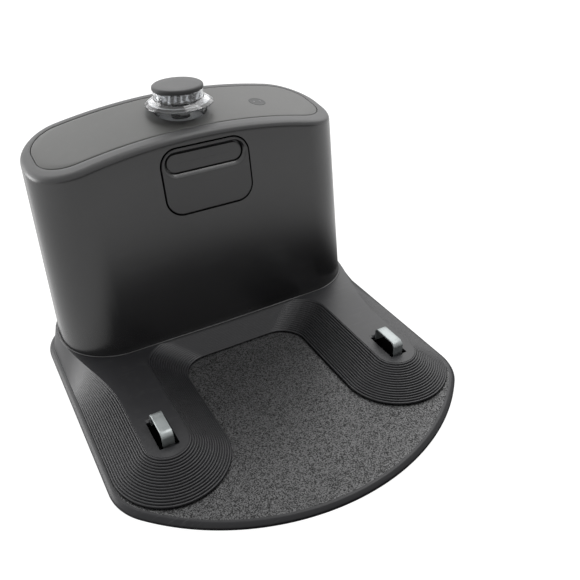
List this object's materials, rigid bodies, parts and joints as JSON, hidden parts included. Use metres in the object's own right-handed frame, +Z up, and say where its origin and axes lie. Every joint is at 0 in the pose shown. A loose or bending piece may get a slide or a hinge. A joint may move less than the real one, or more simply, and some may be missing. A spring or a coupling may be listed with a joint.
{
  "type": "robot vacuum charging dock",
  "caption": "Floor charging dock for a robot vacuum: ribbed drive-on ramps with sprung contacts, a grained wheel mat and a rounded tower with a clear beacon on its arched glossy top.",
  "frame": {"origin": "middle of the footprint, on the floor plane under the rubber feet", "axes": "+Z up, the robot drives on from -Y, tower toward +Y"},
  "size_m": [0.152, 0.162, 0.1134],
  "materials": {
    "base": "fine grained black moulding",
    "cover": "matte black moulding with ribs",
    "tower": "satin black moulding",
    "gloss": "polished black",
    "panel": "satin dark window",
    "lens": "clear moulded lens",
    "cap": "satin black disc",
    "led": "clear emitter",
    "indicator": "smoked light window",
    "contact": "bright plated strip",
    "carrier": "black insert",
    "spring": "spring wire",
    "board": "green board",
    "core": "laminated core with taped winding",
    "can": "sleeved can",
    "screw": "plated screw",
    "socket": "black inlet moulding",
    "pin": "inlet pin",
    "rubber": "soft foot pad"
  },
  "bodies": {
    "dock": {"base_plate": "base", "ramp_cover": "cover", "tower_shell": "tower", "top_plate": "gloss", "front_panel": "panel", "beacon_lens": "lens", "lens_cap": "cap", "beacon_led": "led", "indicator_light": "indicator", "power_board": "board", "transformer": "core", "capacitors": "can", "board_screws": "screw", "beacon_board": "board", "beam_leds": "led", "inlet_socket": "socket", "inlet_pins": "pin", "rubber_feet": "rubber", "base_screws": "screw", "contact_spring_left": "spring", "contact_spring_right": "spring"},
    "contact_left": {"contact_strap_left": "contact", "contact_carrier_left": "carrier"},
    "contact_right": {"contact_strap_right": "contact", "contact_carrier_right": "carrier"}
  },
  "joints": [
    {"name": "contact_left_press", "type": "slide", "parent": "dock", "child": "contact_left", "axis": [0, 0, -1], "range_m": [0, 0.003], "stiffness_N_per_m": 400, "deforming": ["contact_spring_left"]},
    {"name": "contact_right_press", "type": "slide", "parent": "dock", "child": "contact_right", "axis": [0, 0, -1], "range_m": [0, 0.003], "stiffness_N_per_m": 400, "deforming": ["contact_spring_right"]}
  ]
}
